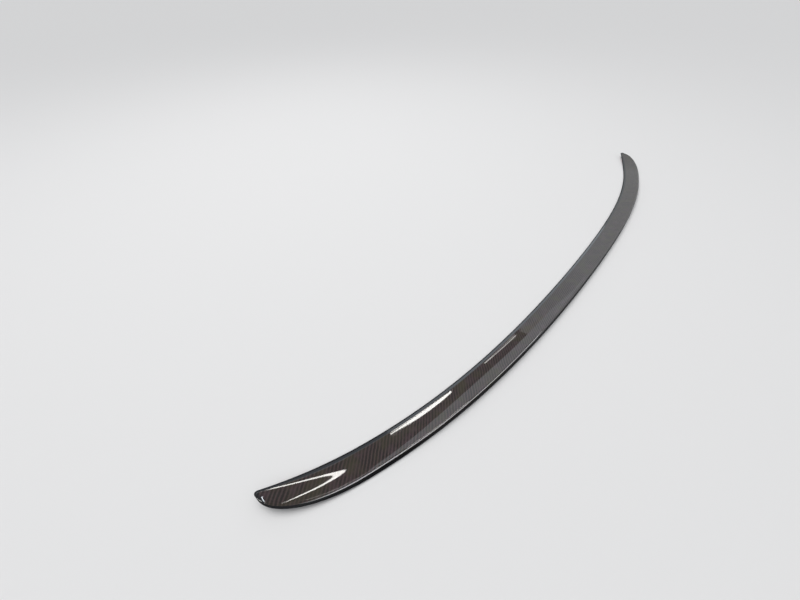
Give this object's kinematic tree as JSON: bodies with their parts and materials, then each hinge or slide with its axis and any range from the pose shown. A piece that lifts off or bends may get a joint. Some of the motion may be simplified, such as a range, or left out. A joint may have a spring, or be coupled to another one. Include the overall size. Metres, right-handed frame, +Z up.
{
  "type": "car boot lid lip spoiler",
  "caption": "Slim bowed lip spoiler in clear-coated carbon fibre that tapes along the rear edge of a car's boot lid.",
  "frame": {"origin": "middle of the bounding box in plan, on the surface that the part rests on", "axes": "+X along the span towards the right of the car, +Y towards the front of the car, +Z up"},
  "size_m": [1.2, 0.1356, 0.0124],
  "materials": {
    "coated_carbon": "twill carbon fibre weave under gloss clear coat",
    "foam_tape": "dark grey closed-cell foam tape",
    "red_liner": "smooth red release film"
  },
  "bodies": {
    "root": {"spoiler_shell": "coated_carbon", "front_tape": "foam_tape", "rear_tape": "foam_tape", "front_liner": "red_liner", "rear_liner": "red_liner"}
  },
  "joints": []
}
